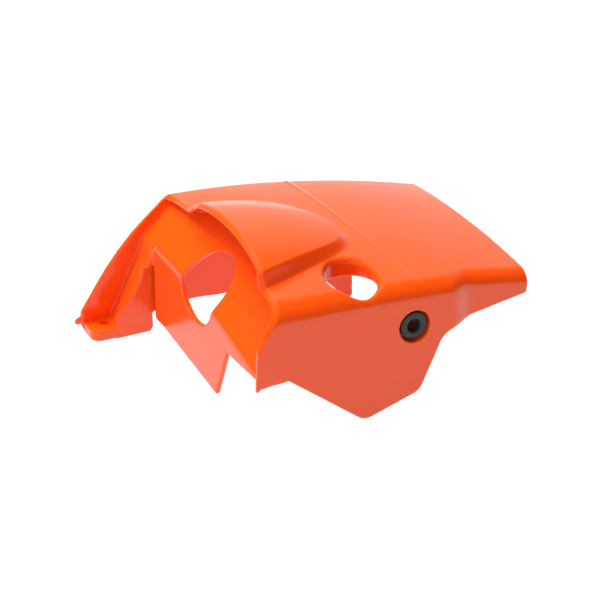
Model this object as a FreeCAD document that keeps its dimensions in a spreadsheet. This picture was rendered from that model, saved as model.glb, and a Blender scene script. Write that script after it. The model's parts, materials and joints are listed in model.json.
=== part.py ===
import FreeCAD, Part
import Sketcher
import math
import os

# Engine top cover of a chainsaw: one injection-moulded shell with a rubber bush in its skirt.
# Frame: +X to the front, +Y to the left side, +Z up, millimetres.  The origin is under the
# middle of the cover, on the flat surface that it stands on.

DIMENSIONS = [
    ("wall", 2.6, "moulded wall thickness"),
    ("rear_x", -43.0, "rear rim of the roof"),
    ("front_x", 97.8, "front edge of the roof"),
    ("right_y", -73.0, "right skirt, at roof height"),
    ("left_y", 70.5, "left wall, at roof height, at the rear rim"),
    ("left_taper", 0.105, "left wall comes in by this much per mm forward"),
    ("jog_depth", 5.5, "right skirt steps in by this much ahead of the screw"),
    ("jog_start", 50.0, "where that step starts"),
    ("jog_length", 16.0, "length of that step"),
    ("right_top", 71.3, "corner height of roof and right skirt, at the rear rim"),
    ("right_fall", 0.068, "fall of that corner per mm forward"),
    ("nose_fall", 0.11, "extra fall per mm ahead of the crease"),
    ("crease_x", 56.0, "where the extra fall starts"),
    ("crease_blend", 8.0, "length over which it comes in"),
    ("left_top", 73.0, "highest corner of roof and left wall"),
    ("left_top_x", -34.0, "where that corner is highest"),
    ("left_curve", 0.00092, "curvature of that corner"),
    ("crown_rear", 8.5, "rise of the roof's crown at the rear rim"),
    ("crown_front", 3.2, "rise of the roof's crown at the front edge"),
    ("rim_dip", 3.0, "the crown is lower by this much at the rear rim"),
    ("rim_dip_length", 40.0, "length over which the crown recovers"),
    ("shoulder_rear", 12.6, "right shoulder radius at the rear rim"),
    ("shoulder_slope", 0.031, "the shoulder radius falls by this much per mm"),
    ("left_radius", 4.0, "left shoulder radius"),
    ("right_draft", 0.03, "right skirt draft"),
    ("left_draft", 0.045, "left wall draft at the rear"),
    ("left_lean", 0.27, "left wall lean towards its front support"),
    ("lean_start", -30.0, "where that lean starts"),
    ("lean_length", 85.0, "length over which it comes in"),
    ("panel_middle", -20.0, "raised panel: widest line"),
    ("panel_length", 58.0, "raised panel: length from the rear rim"),
    ("panel_right", 33.0, "raised panel: half width towards the right"),
    ("panel_left", 47.0, "raised panel: half width towards the left"),
    ("panel_ramp", 14.0, "raised panel: width of the slope down to the left"),
    ("panel_step", 5.6, "raised panel: step height at the rear rim"),
    ("panel_step_fall", 2.8, "raised panel: step height lost along its length"),
    ("panel_dome", 5.7, "raised panel: extra rise in its middle"),
    ("bead_width", 2.2, "cross bead width"),
    ("bead_height", 0.8, "cross bead height"),
    ("access_x", 1.5, "access hole centre"),
    ("access_y", -56.0, "access hole centre"),
    ("access_radius", 13.4, "access hole radius"),
    ("access_floor", 64.6, "lower end of the access hole's collar"),
    ("screw_x", 29.0, "side screw centre"),
    ("screw_z", 45.3, "side screw centre"),
    ("seat_radius", 9.0, "counterbore around the bush"),
    ("seat_y", -73.6, "outer face of the right skirt at the screw"),
    ("seat_depth", 4.4, "counterbore depth"),
    ("seat_floor", 2.4, "thickness of the counterbore's floor"),
    ("boss_radius", 11.8, "boss behind the counterbore"),
    ("neck_radius", 5.0, "bush neck and the hole that it snaps into"),
    ("flange_radius", 7.5, "bush flange"),
    ("flange_thick", 3.4, "bush outer flange thickness"),
    ("tail_thick", 4.6, "bush inner sleeve length"),
    ("bush_bore", 3.4, "bush bore radius"),
    ("mouth_chamfer", 0.5, "chamfer at the mouth of the bore"),
    ("rim_chamfer", 0.9, "chamfer around the outer flange"),
    ("tail_chamfer", 0.8, "chamfer around the inner sleeve's end"),
    ("baffle_x", -56.0, "rear face of the baffle's lower sheet"),
    ("baffle_thick", 2.5, "baffle thickness"),
    ("fold_height", 51.5, "highest point of the baffle's fold"),
    ("fold_y", 50.0, "where the fold is highest"),
    ("fold_curve", 0.00135, "curvature of the fold"),
    ("port_y", 1.4, "baffle port centre"),
    ("port_z", 49.2, "baffle port centre"),
    ("port_radius", 17.5, "baffle port radius"),
    ("foot_thick", 6.0, "foot pad thickness"),
    ("foot_hole_x", -83.2, "foot screw hole centre"),
    ("foot_hole_y", 66.2, "foot screw hole centre"),
    ("foot_hole_radius", 2.75, "foot screw hole radius"),
    ("gusset_y", 56.0, "outer face of the foot's gusset"),
    ("gusset_thick", 2.5, "gusset thickness"),
    ("gusset_top", 39.5, "height of the gusset's top, above which the web is wider"),
    ("web_y", 53.6, "edge of the web above the gusset"),
]

doc = FreeCAD.newDocument("top_cover")
sheet = doc.addObject("Spreadsheet::Sheet", "sizes")
for row, (alias, value, note) in enumerate(DIMENSIONS, start=1):
    sheet.set("A%d" % row, alias)
    sheet.set("B%d" % row, repr(value))
    sheet.set("C%d" % row, note)
    sheet.setAlias("B%d" % row, alias)
doc.recompute()


def size(alias):
    """A driving dimension, read back from the sheet."""
    return float(sheet.get(alias))


# ---------------------------------------------------------------- small helpers

def feature(name, shape):
    item = doc.addObject("Part::Feature", name)
    item.Shape = shape
    item.Placement = FreeCAD.Placement()
    return item


def boolean(kind, name, **links):
    item = doc.addObject("Part::" + kind, name)
    for key, value in links.items():
        setattr(item, key, value)
    return item


def smooth_step(value):
    value = min(1.0, max(0.0, value))
    return value * value * (3.0 - 2.0 * value)


def soft_ramp(value, blend):
    """Zero for negative values, then the value itself, with a smooth start."""
    return blend * math.log1p(math.exp(value / blend * 2.0)) / 2.0


def line_crossing(point_a, along_a, point_b, along_b):
    """Where two lines of one plane cross."""
    cross = along_a[0] * along_b[1] - along_a[1] * along_b[0]
    gap = (point_b[0] - point_a[0], point_b[1] - point_a[1])
    reach = (gap[0] * along_b[1] - gap[1] * along_b[0]) / cross
    return point_a[0] + along_a[0] * reach, point_a[1] + along_a[1] * reach


def direction(start, end):
    length = math.hypot(end[0] - start[0], end[1] - start[1])
    return (end[0] - start[0]) / length, (end[1] - start[1]) / length


def corner_arc(before, corner, after, radius):
    """The tangent points and middle point of a rounded corner."""
    back = direction(corner, before)
    ahead = direction(corner, after)
    half = 0.5 * math.acos(max(-1.0, min(1.0, back[0] * ahead[0] + back[1] * ahead[1])))
    run = radius / math.tan(half)
    inward = direction((0.0, 0.0), (back[0] + ahead[0], back[1] + ahead[1]))
    reach = radius / math.sin(half) - radius
    start = (corner[0] + back[0] * run, corner[1] + back[1] * run)
    middle = (corner[0] + inward[0] * reach, corner[1] + inward[1] * reach)
    end = (corner[0] + ahead[0] * run, corner[1] + ahead[1] * run)
    return start, middle, end


def rounded_wire(corners, place):
    """A closed wire through (u, v, radius) corners; place turns (u, v) into a vector."""
    pieces = []
    first = None
    last = None
    for index, (across, height, radius) in enumerate(corners):
        before = corners[index - 1][:2]
        after = corners[(index + 1) % len(corners)][:2]
        if radius > 0.0:
            arc = [place(*point) for point in corner_arc(before, (across, height), after, radius)]
        else:
            arc = [place(across, height)]
        if last is not None:
            pieces.append(Part.makeLine(last, arc[0]))
        if first is None:
            first = arc[0]
        if len(arc) == 3:
            pieces.append(Part.Arc(*arc).toShape())
        last = arc[-1]
    pieces.append(Part.makeLine(last, first))
    return Part.Wire(pieces)


def prism(corners, place, along):
    return Part.Face(rounded_wire(corners, place)).extrude(along)


def in_side_view(offset):
    return lambda across, height: FreeCAD.Vector(across, offset, height)


def in_rear_view(offset):
    return lambda across, height: FreeCAD.Vector(offset, across, height)


# ---------------------------------------------------------------- the cowl's cross sections

def right_corner(x):
    jog = size("jog_depth") * smooth_step((x - size("jog_start")) / size("jog_length"))
    fall = size("right_fall") * (x - size("rear_x"))
    nose = size("nose_fall") * soft_ramp(x - size("crease_x"), size("crease_blend"))
    return size("right_y") + jog, size("right_top") - fall - nose


def left_corner(x):
    across = size("left_y") - size("left_taper") * max(0.0, x - size("rear_x"))
    height = size("left_top") - size("left_curve") * (x - size("left_top_x")) ** 2
    return across, height


def rim_dip(x):
    """How much lower the crown is near the rear rim."""
    return size("rim_dip") * (1.0 - smooth_step((x - size("rear_x")) / size("rim_dip_length")))


def crown(x):
    share = max(0.0, x - size("rear_x")) / (size("front_x") - size("rear_x"))
    rise = size("crown_rear") + (size("crown_front") - size("crown_rear")) * share ** 1.5
    return rise - rim_dip(x)


def left_slope(x):
    return size("left_draft") - size("left_lean") * smooth_step(
        (x - size("lean_start")) / size("lean_length"))


def roof_height(x, y):
    right = right_corner(x)
    left = left_corner(x)
    share = (y - right[0]) / (left[0] - right[0])
    return right[1] + (left[1] - right[1]) * share + 4.0 * crown(x) * share * (1.0 - share)


def cowl_section(x, inset):
    """The cowl's closed section at x, moved inwards by inset."""
    bottom = -15.0
    right = right_corner(x)
    left = left_corner(x)
    top = ((right[0] + left[0]) / 2.0, (right[1] + left[1]) / 2.0 + 2.0 * crown(x))
    foot_right = (right[0] - size("right_draft") * (right[1] - bottom), bottom)
    foot_left = (left[0] + left_slope(x) * (left[1] - bottom), bottom)
    outline = [foot_right, right, top, left, foot_left]
    sides = []
    for start, end in zip(outline, outline[1:]):
        along = direction(start, end)
        shifted = (start[0] + along[1] * inset, start[1] - along[0] * inset)
        sides.append((shifted, along))
    right = line_crossing(*sides[0], *sides[1])
    top = line_crossing(*sides[1], *sides[2])
    left = line_crossing(*sides[2], *sides[3])
    floor = ((0.0, bottom), (1.0, 0.0))
    foot_right = line_crossing(*sides[0], *floor)
    foot_left = line_crossing(*sides[3], *floor)
    right_radius = size("shoulder_rear") - size("shoulder_slope") * (x - size("rear_x")) - inset
    left_radius = size("left_radius") - inset
    right_arc = corner_arc(foot_right, right, top, right_radius)
    left_arc = corner_arc(top, left, foot_left, left_radius)
    place = in_rear_view(x)
    roof = Part.BezierCurve()
    roof.setPoles([place(*right_arc[2]), place(*top), place(*left_arc[0])])
    return Part.Wire([
        Part.makeLine(place(*foot_right), place(*right_arc[0])),
        Part.Arc(*[place(*point) for point in right_arc]).toShape(),
        roof.toShape(),
        Part.Arc(*[place(*point) for point in left_arc]).toShape(),
        Part.makeLine(place(*left_arc[2]), place(*foot_left)),
        Part.makeLine(place(*foot_left), place(*foot_right)),
    ])


SECTION_STATIONS = [-104, -90, -75, -60, -45, -30, -15, 0, 15, 28, 38, 45, 50, 55, 60, 66, 75, 86, 96, 106]


def cowl(inset):
    wires = [cowl_section(float(x), inset) for x in SECTION_STATIONS]
    return Part.makeLoft(wires, True, False)


# ---------------------------------------------------------------- the raised panel

def panel_fade(x, y):
    """One on the panel's top, falling to zero down the slope on its left."""
    along = max(0.0, x - size("rear_x")) / size("panel_length")
    across = y - size("panel_middle")
    if across <= 0.0:
        return 1.0
    past_top = math.hypot(along, across / size("panel_left")) - 1.0
    before_foot = 1.0 - math.hypot(along, across / (size("panel_left") + size("panel_ramp")))
    if past_top <= 0.0:
        return 1.0
    if before_foot <= 0.0:
        return 0.0
    return smooth_step(before_foot / (before_foot + past_top))


def panel_height(x, y, inset):
    """Height of the panel's top at a point of the plan."""
    along = max(0.0, x - size("rear_x")) / size("panel_length")
    half = size("panel_left") if y > size("panel_middle") else size("panel_right")
    across = (y - size("panel_middle")) / half
    step = size("panel_step") - size("panel_step_fall") * along
    dome = size("panel_dome") * max(0.0, 1.0 - along * along - across * across)
    share = (y - right_corner(x)[0]) / (left_corner(x)[0] - right_corner(x)[0])
    dip = 4.0 * rim_dip(x) * share * (1.0 - share)
    fade = panel_fade(x, y)
    return roof_height(x, y) + (step + dome + dip) * fade - 0.8 * (1.0 - fade) - inset


def panel(inset):
    """The panel as a column from under the roof to the panel's top."""
    start = size("rear_x") - 12.0
    middle = size("panel_middle")
    length = size("panel_length") - inset
    right = size("panel_right") - inset
    left = size("panel_left") + size("panel_ramp") - inset
    rear = size("rear_x")

    def place(x, y):
        return FreeCAD.Vector(x, y, 58.0)

    nose = place(rear + length, middle)
    right_edge = Part.BezierCurve()
    right_edge.setPoles([place(rear, middle - right),
                         place(rear + 0.70 * length, middle - 0.62 * right),
                         place(rear + length, middle - 0.45 * right), nose])
    quarter = 0.5523
    left_edge = Part.BezierCurve()
    left_edge.setPoles([nose, place(rear + length, middle + quarter * left),
                        place(rear + quarter * length, middle + left), place(rear, middle + left)])
    outline = Part.Wire([
        Part.makeLine(place(start, middle + left), place(start, middle - right)),
        Part.makeLine(place(start, middle - right), place(rear, middle - right)),
        right_edge.toShape(),
        left_edge.toShape(),
        Part.makeLine(place(rear, middle + left), place(start, middle + left)),
    ])
    column = Part.Face(outline).extrude(FreeCAD.Vector(0, 0, 60.0))
    rows = 28
    lines = 34
    length = size("panel_length") + 24.0
    width = size("panel_left") + size("panel_ramp") + size("panel_right") + 12.0
    grid = []
    for row in range(rows + 1):
        x = start - 4.0 + length * row / rows
        line = []
        for item in range(lines + 1):
            y = middle - size("panel_right") - 6.0 + width * item / lines
            line.append(FreeCAD.Vector(x, y, panel_height(x, y, inset)))
        grid.append(line)
    surface = Part.BSplineSurface()
    surface.interpolate(grid)
    below = surface.toShape().extrude(FreeCAD.Vector(0, 0, -60.0))
    return column.common(below)


# ---------------------------------------------------------------- outlines

RIM_X = size("rear_x") - 1.0


def right_outline():
    """Side view of the roof and right skirt: (x, z, corner radius)."""
    return [
        (RIM_X, 120.0, 0.0), (RIM_X, 69.8, 5.0), (-56.8, 51.0, 6.0), (-57.9, 28.3, 0.6),
        (-55.6, 30.9, 1.0), (-40.6, 31.8, 1.5), (1.0, -0.86, 8.0), (32.4, 8.4, 9.0), (46.4, 38.2, 12.0),
        (97.2, 45.8, 1.5), (size("front_x"), 52.0, 3.0), (size("front_x"), 120.0, 0.0),
    ]


def left_outline():
    """Side view of the roof and left wall."""
    return [
        (RIM_X, 120.0, 0.0), (RIM_X, 72.4, 4.0), (-70.2, 50.9, 181.0), (-94.5, 12.0, 0.0),
        (-94.5, 0.0, 5.0), (-76.0, 0.0, 0.0), (-74.0, 5.4, 2.0), (-12.0, 7.0, 30.0), (12.0, 18.0, 14.0),
        (34.0, 18.0, 10.0), (54.6, -3.03, 2.5), (58.5, 38.0, 12.0), (97.2, 45.8, 1.5),
        (size("front_x"), 52.0, 3.0), (size("front_x"), 120.0, 0.0),
    ]


def flap_outline():
    """Rear view of the baffle's lower sheet: (y, z, corner radius)."""
    return [
        (90.0, 120.0, 0.0), (90.0, 40.0, 0.0), (56.2, 40.0, 0.0), (56.2, 51.0, 1.0), (54.0, 51.0, 1.0),
        (54.0, 8.3, 2.5), (46.0, 8.6, 6.0),
        (-20.2, -0.05, 0.6), (-33.6, 30.6, 1.5), (-66.0, 31.4, 5.0), (-73.5, 38.0, 4.0), (-90.0, 50.0, 0.0),
        (-90.0, 120.0, 0.0),
    ]


# ---------------------------------------------------------------- the baffle

def baffle_section(y):
    """Side-view section of the folded baffle at y: upright below the fold, 45 degrees above."""
    rear = size("baffle_x") - 0.0357 * (y + 25.0)
    fold = size("fold_height") - size("fold_curve") * (size("fold_y") - y) ** 2
    thick = size("baffle_thick")
    reach = 60.0
    inner_fold = fold - thick * math.tan(math.radians(22.5))
    slope = thick * math.sqrt(0.5)
    place = in_side_view(y)
    outer = corner_arc((rear, -5.0), (rear, fold), (rear + reach, fold + reach), 4.0)
    inner = corner_arc((rear + thick + reach, inner_fold + reach), (rear + thick, inner_fold),
                       (rear + thick, -5.0), 2.0)
    return Part.Wire([
        Part.makeLine(place(rear, -5.0), place(*outer[0])),
        Part.Arc(*[place(*point) for point in outer]).toShape(),
        Part.makeLine(place(*outer[2]), place(rear + reach, fold + reach)),
        Part.makeLine(place(rear + reach, fold + reach), place(rear + reach + slope, fold + reach - slope)),
        Part.makeLine(place(rear + reach + slope, fold + reach - slope), place(*inner[0])),
        Part.Arc(*[place(*point) for point in inner]).toShape(),
        Part.makeLine(place(*inner[2]), place(rear + thick, -5.0)),
        Part.makeLine(place(rear + thick, -5.0), place(rear, -5.0)),
    ])


def baffle():
    sheet_block = Part.makeLoft([baffle_section(float(y)) for y in range(-80, 81, 20)], True, False)
    keep = prism(flap_outline(), in_rear_view(-80.0), FreeCAD.Vector(120.0, 0, 0))
    return sheet_block.common(keep)


# ---------------------------------------------------------------- the foot

def foot_web():
    """The sheet that slopes down from the baffle to the foot pad, wider above the gusset."""
    corners = [(-80.4, 2.0, 0.0), (-61.4, 42.5, 8.0), (-58.6, 50.0, 0.0), (-55.8, 50.0, 0.0),
               (-58.8, 41.5, 8.0), (-77.6, 2.0, 0.0)]
    start = size("web_y")
    sheet = prism(corners, in_side_view(start), FreeCAD.Vector(0, 80.0 - start, 0))
    notch = Part.makeBox(40.0, size("gusset_y") - start, size("gusset_top") + 5.0,
                         FreeCAD.Vector(-90.0, start, -5.0))
    return sheet.cut(notch)


def gusset():
    corners = [(-80.4, 0.0, 0.0), (-80.4, 12.0, 1.0), (-65.0, 31.5, 1.5), (-65.0, 38.3, 1.0),
               (-60.0, 39.8, 0.0), (-50.0, 39.8, 0.0), (-50.0, 11.6, 0.0), (-59.2, 11.6, 1.0),
               (-59.2, 2.5, 1.0), (-61.0, 0.0, 0.5)]
    return prism(corners, in_side_view(size("gusset_y")), FreeCAD.Vector(0, size("gusset_thick"), 0))


def groove():
    """The narrow upright channel between flap and gusset."""
    low = 11.6
    side = Part.makeBox(7.0, size("baffle_thick"), 40.0, FreeCAD.Vector(-57.0, 51.5, low))
    floor_width = size("gusset_y") + size("gusset_thick") - 51.5
    floor = Part.makeBox(2.5, floor_width, 43.5, FreeCAD.Vector(-52.5, 51.5, low))
    return side.fuse(floor)


def foot_pad():
    corners = [(-93.2, 57.0, 5.5), (-77.0, 57.0, 0.0), (-77.0, 90.0, 0.0), (-93.2, 90.0, 0.0)]
    return prism(corners, FreeCAD.Vector, FreeCAD.Vector(0, 0, size("foot_thick")))


def nub():
    """The rounded locating peg at the foot's rear corner."""
    radius = 2.0
    start = FreeCAD.Vector(-92.0, 72.7, 8.2)
    end = FreeCAD.Vector(-96.1, 73.1, 6.4)
    stem = Part.makeCylinder(radius, start.distanceToPoint(end), start, end - start)
    return stem.fuse(Part.makeSphere(radius, end))


# ---------------------------------------------------------------- the shell, as a tree of booleans

def cylinder(name, radius, height, base, rotation, **expressions):
    item = doc.addObject("Part::Cylinder", name)
    item.setExpression("Radius", radius)
    item.setExpression("Height", height)
    item.Placement = FreeCAD.Placement(base, rotation)
    for path, text in expressions.items():
        item.setExpression("Placement.Base." + path, text)
    return item


UPRIGHT = FreeCAD.Rotation()
ALONG_Y = FreeCAD.Rotation(FreeCAD.Vector(1, 0, 0), -90)
ALONG_X = FreeCAD.Rotation(FreeCAD.Vector(0, 1, 0), 90)
ORIGIN = FreeCAD.Vector()

outer_cowl = feature("outer_cowl", cowl(0.0))
inner_cowl = feature("inner_cowl", cowl(size("wall")))
middle_cowl = feature("middle_cowl", cowl(0.45 * size("wall")))
proud_cowl = feature("proud_cowl", cowl(-size("bead_height")))
outer_panel = feature("outer_panel", panel(0.0))
inner_panel = feature("inner_panel", panel(size("wall")))
middle_panel = feature("middle_panel", panel(0.45 * size("wall")))


def bead_slab():
    """An upright slab over the bead's line, which bends forward towards the right skirt."""
    line = Part.BSplineCurve()
    line.interpolate([FreeCAD.Vector(21.6 + 0.00105 * (y - 32.0) ** 2, y, 55.0)
                      for y in (-69.5, -40.0, -10.0, 20.0, 50.0, 80.0)])
    strip = line.toShape().extrude(FreeCAD.Vector(size("bead_width"), 0, 0))
    strip.translate(FreeCAD.Vector(-size("bead_width") / 2.0, 0, 0))
    return strip.extrude(FreeCAD.Vector(0, 0, 50.0))


bead_column = feature("bead_column", bead_slab())
bead = boolean("MultiCommon", "bead", Shapes=[bead_column, proud_cowl])
cover_mass = boolean("MultiFuse", "cover_mass", Shapes=[outer_cowl, outer_panel, bead])
core_mass = boolean("MultiFuse", "core_mass", Shapes=[inner_cowl, inner_panel])
skin_blank = boolean("Cut", "skin_blank", Base=cover_mass, Tool=core_mass)

right_half = feature("right_half", prism(right_outline(), in_side_view(-90.0), FreeCAD.Vector(0, 90.0, 0)))
left_half = feature("left_half", prism(left_outline(), in_side_view(0.0), FreeCAD.Vector(0, 90.0, 0)))
outline_block = boolean("MultiFuse", "outline_block", Shapes=[right_half, left_half])
skin = boolean("MultiCommon", "skin", Shapes=[skin_blank, outline_block])

baffle_sheet = feature("baffle_sheet", baffle())
web_sheet = feature("web_sheet", foot_web())
gusset_plate = feature("gusset_plate", gusset())
groove_strip = feature("groove_strip", groove())
pad_block = feature("pad_block", foot_pad())
peg = feature("peg", nub())
collar_tube = cylinder("collar_tube", "sizes.access_radius + sizes.wall", "40", ORIGIN, UPRIGHT,
                       x="sizes.access_x", y="sizes.access_y", z="sizes.access_floor")
seat_boss = cylinder("seat_boss", "sizes.boss_radius", "sizes.seat_depth + sizes.seat_floor - 1",
                     ORIGIN, ALONG_Y, x="sizes.screw_x", y="sizes.seat_y + 1", z="sizes.screw_z")
doc.recompute()
inside = boolean("MultiFuse", "inside_blank", Shapes=[baffle_sheet, web_sheet, gusset_plate, groove_strip,
                                                      pad_block, collar_tube, seat_boss])
middle_mass = boolean("MultiFuse", "middle_mass", Shapes=[middle_cowl, middle_panel])
inside_parts = boolean("MultiCommon", "inside_parts", Shapes=[inside, middle_mass])
shell_blank = boolean("MultiFuse", "shell_blank", Shapes=[skin, inside_parts, peg])

access_hole = cylinder("access_hole", "sizes.access_radius", "60", ORIGIN, UPRIGHT,
                       x="sizes.access_x", y="sizes.access_y", z="sizes.access_floor - 10")
port = cylinder("port", "sizes.port_radius", "50", ORIGIN, ALONG_X,
                x="sizes.baffle_x - 10", y="sizes.port_y", z="sizes.port_z")
seat_bore = cylinder("seat_bore", "sizes.seat_radius", "sizes.seat_depth + 5", ORIGIN, ALONG_Y,
                     x="sizes.screw_x", y="sizes.seat_y - 5", z="sizes.screw_z")
neck_hole = cylinder("neck_hole", "sizes.neck_radius", "20", ORIGIN, ALONG_Y,
                     x="sizes.screw_x", y="sizes.seat_y - 5", z="sizes.screw_z")
foot_hole = cylinder("foot_hole", "sizes.foot_hole_radius", "sizes.foot_thick + 2", ORIGIN, UPRIGHT,
                     x="sizes.foot_hole_x", y="sizes.foot_hole_y", z="-1")
holes = boolean("MultiFuse", "holes", Shapes=[access_hole, port, seat_bore, neck_hole, foot_hole])
shroud = boolean("Cut", "shroud", Base=shell_blank, Tool=holes)
shroud.Label = "shroud"

# ---------------------------------------------------------------- the rubber bush

bush = doc.addObject("PartDesign::Body", "side_bush")
bush.Label = "side_bush"
plane = next(item for item in bush.Origin.OriginFeatures if item.Role == "XY_Plane")
profile = bush.newObject("Sketcher::SketchObject", "bush_profile")
profile.AttachmentSupport = [(plane, "")]
profile.MapMode = "FlatFace"


def total(plus, minus=()):
    """A sum of named sizes, as a number and as an expression."""
    value = sum(size(name) for name in plus) - sum(size(name) for name in minus)
    text = " + ".join("sizes." + name for name in plus) + "".join(" - sizes." + name for name in minus)
    return value, text


def bush_corners():
    """Half section of the bush: radius, and distance along its axis into the cover."""
    bore = total(["bush_bore"])
    neck = total(["neck_radius"])
    flange = total(["flange_radius"])
    under = ["flange_thick"]
    far_side = under + ["seat_floor"]
    end = far_side + ["tail_thick"]
    return [
        (bore, total(["mouth_chamfer"])), (total(["bush_bore", "mouth_chamfer"]), None),
        (total(["flange_radius"], ["rim_chamfer"]), None), (flange, total(["rim_chamfer"])),
        (flange, total(under)), (neck, total(under)), (neck, total(far_side)), (flange, total(far_side)),
        (flange, total(end, ["tail_chamfer"])), (total(["flange_radius"], ["tail_chamfer"]), total(end)),
        (bore, total(end)),
    ]


def draw_profile(sketch, corners):
    """A closed outline whose corners are held by the sheet's sizes; no height means on the axis line."""
    places = [FreeCAD.Vector(radius[0], height[0] if height else 0.0, 0) for radius, height in corners]
    count = len(places)
    for index in range(count):
        sketch.addGeometry(Part.LineSegment(places[index], places[(index + 1) % count]), False)
    for index, (radius, height) in enumerate(corners):
        sketch.addConstraint(Sketcher.Constraint("Coincident", index - 1 if index else count - 1, 2, index, 1))
        held = sketch.addConstraint(Sketcher.Constraint("DistanceX", -1, 1, index, 1, radius[0]))
        sketch.setExpression("Constraints[%d]" % held, radius[1])
        if height is None:
            sketch.addConstraint(Sketcher.Constraint("PointOnObject", index, 1, -1))
        else:
            held = sketch.addConstraint(Sketcher.Constraint("DistanceY", -1, 1, index, 1, height[0]))
            sketch.setExpression("Constraints[%d]" % held, height[1])


draw_profile(profile, bush_corners())
turned = bush.newObject("PartDesign::Revolution", "turned")
turned.Profile = profile
turned.ReferenceAxis = (profile, ["V_Axis"])
turned.Angle = 360.0
profile.Visibility = False
bush.Placement.Base = FreeCAD.Vector(
    size("screw_x"), size("seat_y") + size("seat_depth") - size("flange_thick"), size("screw_z"))

doc.recompute()

# ---------------------------------------------------------------- checks and export

for item in doc.Objects:
    if "Invalid" in item.State or "Error" in item.State:
        raise RuntimeError("%s failed: %s" % (item.Name, item.State))
for item in (shroud, bush):
    shape = item.Shape
    if shape.isNull() or not shape.isValid() or len(shape.Solids) != 1:
        raise RuntimeError("%s has a bad shape" % item.Label)
    print(item.Label, round(shape.Volume))

os.makedirs("parts", exist_ok=True)
for item in (shroud, bush):
    item.Shape.exportStep("parts/%s.step" % item.Label)
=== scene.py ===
import json
import math

import bpy
import numpy as np
from mathutils import Matrix, Vector


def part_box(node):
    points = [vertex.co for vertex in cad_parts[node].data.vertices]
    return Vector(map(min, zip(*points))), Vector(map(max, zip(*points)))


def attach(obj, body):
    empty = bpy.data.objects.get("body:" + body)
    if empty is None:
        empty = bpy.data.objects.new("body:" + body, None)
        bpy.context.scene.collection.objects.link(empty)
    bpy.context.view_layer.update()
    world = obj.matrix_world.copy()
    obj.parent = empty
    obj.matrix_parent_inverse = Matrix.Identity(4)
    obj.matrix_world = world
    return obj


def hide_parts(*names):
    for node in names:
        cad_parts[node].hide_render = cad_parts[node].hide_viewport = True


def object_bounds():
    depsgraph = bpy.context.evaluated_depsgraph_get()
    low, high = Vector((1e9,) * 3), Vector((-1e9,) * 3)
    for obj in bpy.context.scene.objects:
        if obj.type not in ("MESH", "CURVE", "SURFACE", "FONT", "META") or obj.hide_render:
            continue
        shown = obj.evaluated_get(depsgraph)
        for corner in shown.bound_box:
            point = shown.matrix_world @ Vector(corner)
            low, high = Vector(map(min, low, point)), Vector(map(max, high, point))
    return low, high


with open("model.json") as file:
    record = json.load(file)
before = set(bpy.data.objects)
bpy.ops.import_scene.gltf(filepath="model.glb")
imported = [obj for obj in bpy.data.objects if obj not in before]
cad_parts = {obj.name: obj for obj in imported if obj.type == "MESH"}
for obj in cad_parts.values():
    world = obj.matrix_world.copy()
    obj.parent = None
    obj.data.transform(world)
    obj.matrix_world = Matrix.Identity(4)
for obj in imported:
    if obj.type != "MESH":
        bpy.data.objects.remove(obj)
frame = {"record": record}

# Engine top cover of a chainsaw, glossy orange plastic, with a black rubber bush in its skirt.
# The shroud's surface is the zero level of a distance field, in millimetres in the row frame.
# The field is built from the CAD part's own dimensions, and adds the rounded edges of a moulding.

CAD_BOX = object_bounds()
MM = 0.001
PITCH = 0.6      # grid step of the distance field
MARGIN = 3.0                            # empty grid around the part
TRIANGLES = 190000


# ---------------------------------------------------------------- dimensions, in millimetres

def mount_place(name):
    """A hole's centre and radius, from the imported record."""
    mount = next(mount for mount in frame["record"]["mounts"] if mount["name"] == name)
    x, y, z = (round(value / MM, 3) for value in mount["pos_m"])
    return x, y, z, mount["dims"]["r_mm"]


ACCESS_X, ACCESS_Y, _, ACCESS_RADIUS = mount_place("access_hole")
FOOT_HOLE_X, FOOT_HOLE_Y, _, FOOT_HOLE_RADIUS = mount_place("foot_screw")
SCREW_X, _, SCREW_Z, _ = mount_place("side_screw")

WALL = 2.6
REAR_X = -43.0
FRONT_X = 97.8
RIM_X = REAR_X - 1.0

RIGHT_Y = -73.0
RIGHT_TOP = 71.3
RIGHT_FALL = 0.068
RIGHT_DRAFT = 0.03
NOSE_FALL = 0.11
CREASE_X = 56.0
CREASE_BLEND = 8.0
JOG_DEPTH = 5.5
JOG_START = 50.0
JOG_LENGTH = 16.0
SHOULDER_REAR = 12.6
SHOULDER_FALL = 0.031

LEFT_Y = 70.5
LEFT_TAPER = 0.105
LEFT_TOP = 73.0
LEFT_TOP_X = -34.0
LEFT_CURVE = 0.00092
LEFT_RADIUS = 4.0
LEFT_DRAFT = 0.045
LEFT_LEAN = 0.27
LEAN_START = -30.0
LEAN_LENGTH = 85.0

CROWN_REAR = 8.5
CROWN_FALL = 5.3
RIM_DIP = 3.0
RIM_DIP_LENGTH = 40.0

PANEL_Y = -20.0
PANEL_LENGTH = 58.0
PANEL_RIGHT = 33.0
PANEL_LEFT = 47.0
PANEL_RAMP = 14.0
PANEL_STEP = 5.6
PANEL_STEP_FALL = 2.8
PANEL_STEP_LEAST = 0.5
PANEL_DOME = 5.7
RISER_WIDTH = 3.2
RISER_WIDENS = 1.8

BEAD_X = 21.6
BEAD_Y = 32.0
BEAD_BEND = 0.00105
BEAD_END_Y = -70.2
BEAD_HEIGHT = 0.4
BEAD_HALF_WIDTH = 1.8
BEAD_FLANK = 1.4

SLANT_RIGHT = 3.2
SLANT_FALL = 2.4
SLANT_FALL_Y = 24.0
SLANT_FALL_LENGTH = 14.0
SLANT_LOW = 50.0
SLANT_RISE = 15.0

ACCESS_FLOOR = 64.6
COLLAR_EXTRA = 0.6
LIP_LEAST = 2.0
LIP_WIDENS = 3.0
LIP_TOWARDS = math.radians(-20.0)

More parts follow.
